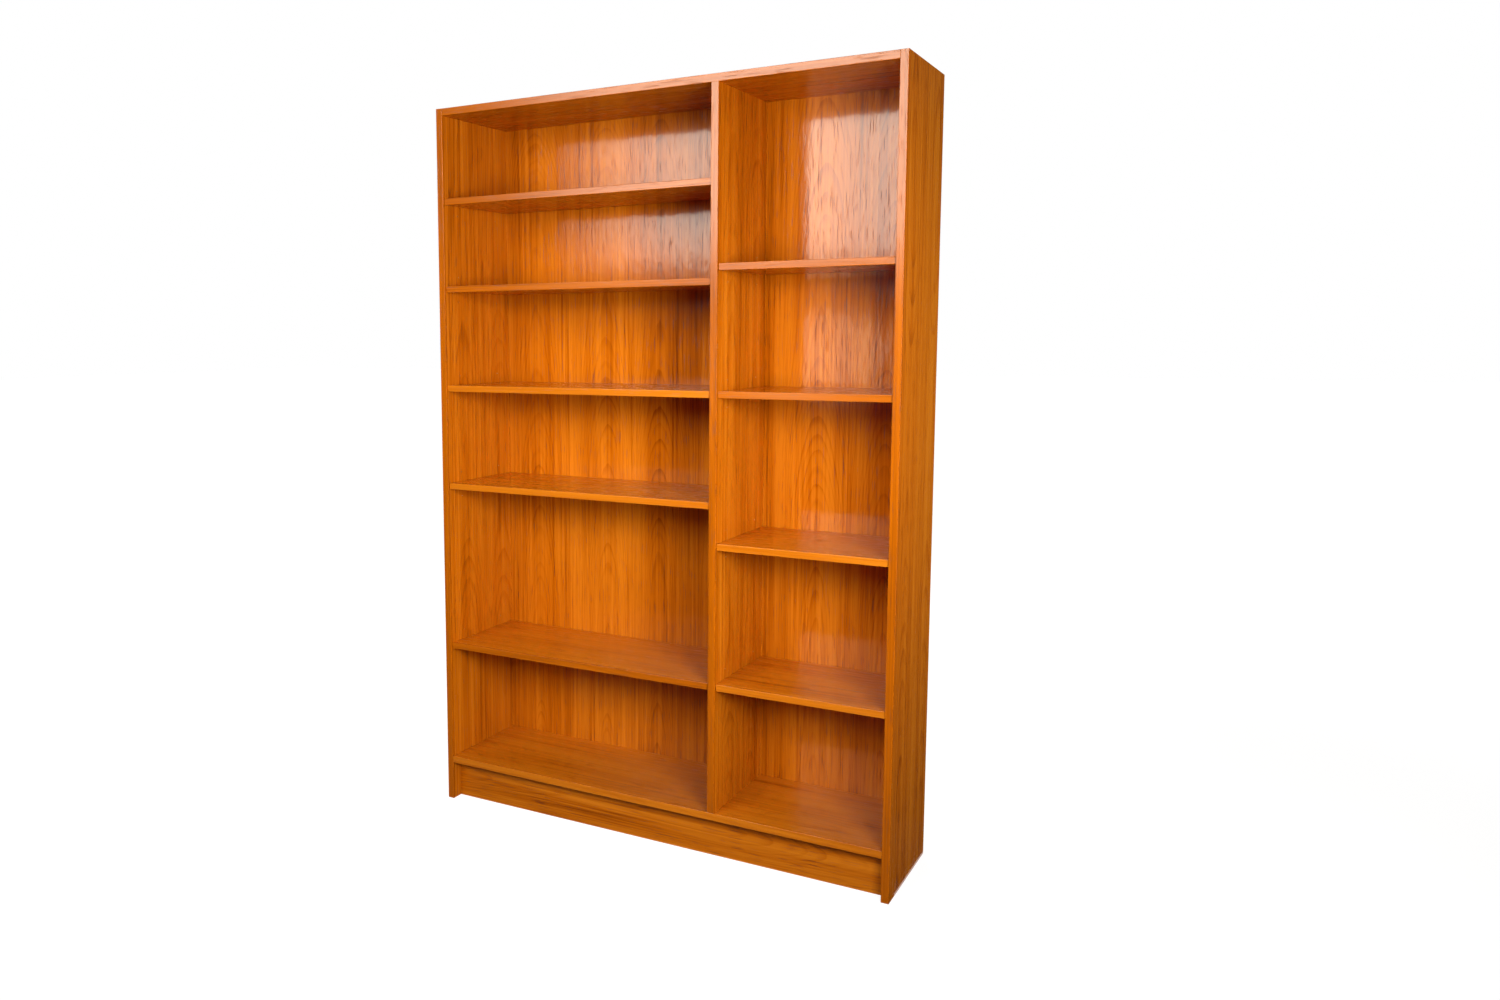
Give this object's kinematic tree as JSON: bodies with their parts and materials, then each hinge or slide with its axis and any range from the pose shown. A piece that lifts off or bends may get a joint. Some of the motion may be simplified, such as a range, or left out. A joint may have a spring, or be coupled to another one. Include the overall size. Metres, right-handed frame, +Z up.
{
  "type": "double bookcase",
  "caption": "Tall free-standing bookcase of teak-veneered boards: a wide and a narrow bay side by side, loose shelves on hidden wires, closed back and recessed plinth.",
  "frame": {"origin": "on the floor, under the middle of the case's width and depth", "axes": "+X to the right seen from the front, +Y from front to back, +Z up"},
  "size_m": [1.2, 0.295, 1.82],
  "materials": {
    "teak_veneer": "satin oiled teak veneer, reddish brown, upright or lengthwise grain",
    "teak_shelf": "satin oiled teak veneer, grain along the shelf",
    "teak_back": "satin teak veneer sheet, upright leaves",
    "teak_lipping": "solid teak, eased edges, grain lengthwise",
    "beech": "raw turned beech",
    "pine": "raw sawn pine",
    "bright_wire": "bright drawn steel wire",
    "nail_steel": "bright nail steel"
  },
  "bodies": {
    "case": {"left_side": "teak_veneer", "right_side": "teak_veneer", "top_panel": "teak_veneer", "bottom_panel": "teak_veneer", "divider": "teak_veneer", "plinth": "teak_veneer", "back_panel": "teak_back", "left_side_lipping": "teak_lipping", "right_side_lipping": "teak_lipping", "top_lipping": "teak_lipping", "bottom_lipping": "teak_lipping", "divider_lipping": "teak_lipping", "left_shelf_wires": "bright_wire", "right_shelf_wires": "bright_wire", "corner_dowels": "beech", "plinth_dowels": "beech", "back_nails": "nail_steel", "glue_blocks": "pine"},
    "left_shelf_1": {"left_shelf_1": "teak_shelf", "left_shelf_1_lipping": "teak_lipping"},
    "left_shelf_2": {"left_shelf_2": "teak_shelf", "left_shelf_2_lipping": "teak_lipping"},
    "left_shelf_3": {"left_shelf_3": "teak_shelf", "left_shelf_3_lipping": "teak_lipping"},
    "left_shelf_4": {"left_shelf_4": "teak_shelf", "left_shelf_4_lipping": "teak_lipping"},
    "left_shelf_5": {"left_shelf_5": "teak_shelf", "left_shelf_5_lipping": "teak_lipping"},
    "right_shelf_1": {"right_shelf_1": "teak_shelf", "right_shelf_1_lipping": "teak_lipping"},
    "right_shelf_2": {"right_shelf_2": "teak_shelf", "right_shelf_2_lipping": "teak_lipping"},
    "right_shelf_3": {"right_shelf_3": "teak_shelf", "right_shelf_3_lipping": "teak_lipping"},
    "right_shelf_4": {"right_shelf_4": "teak_shelf", "right_shelf_4_lipping": "teak_lipping"}
  },
  "joints": [
    {"name": "left_shelf_1_slide", "type": "slide", "parent": "case", "child": "left_shelf_1", "axis": [0, -1, 0], "range_m": [0, 0.3]},
    {"name": "left_shelf_2_slide", "type": "slide", "parent": "case", "child": "left_shelf_2", "axis": [0, -1, 0], "range_m": [0, 0.3]},
    {"name": "left_shelf_3_slide", "type": "slide", "parent": "case", "child": "left_shelf_3", "axis": [0, -1, 0], "range_m": [0, 0.3]},
    {"name": "left_shelf_4_slide", "type": "slide", "parent": "case", "child": "left_shelf_4", "axis": [0, -1, 0], "range_m": [0, 0.3]},
    {"name": "left_shelf_5_slide", "type": "slide", "parent": "case", "child": "left_shelf_5", "axis": [0, -1, 0], "range_m": [0, 0.3]},
    {"name": "right_shelf_1_slide", "type": "slide", "parent": "case", "child": "right_shelf_1", "axis": [0, -1, 0], "range_m": [0, 0.3]},
    {"name": "right_shelf_2_slide", "type": "slide", "parent": "case", "child": "right_shelf_2", "axis": [0, -1, 0], "range_m": [0, 0.3]},
    {"name": "right_shelf_3_slide", "type": "slide", "parent": "case", "child": "right_shelf_3", "axis": [0, -1, 0], "range_m": [0, 0.3]},
    {"name": "right_shelf_4_slide", "type": "slide", "parent": "case", "child": "right_shelf_4", "axis": [0, -1, 0], "range_m": [0, 0.3]}
  ]
}
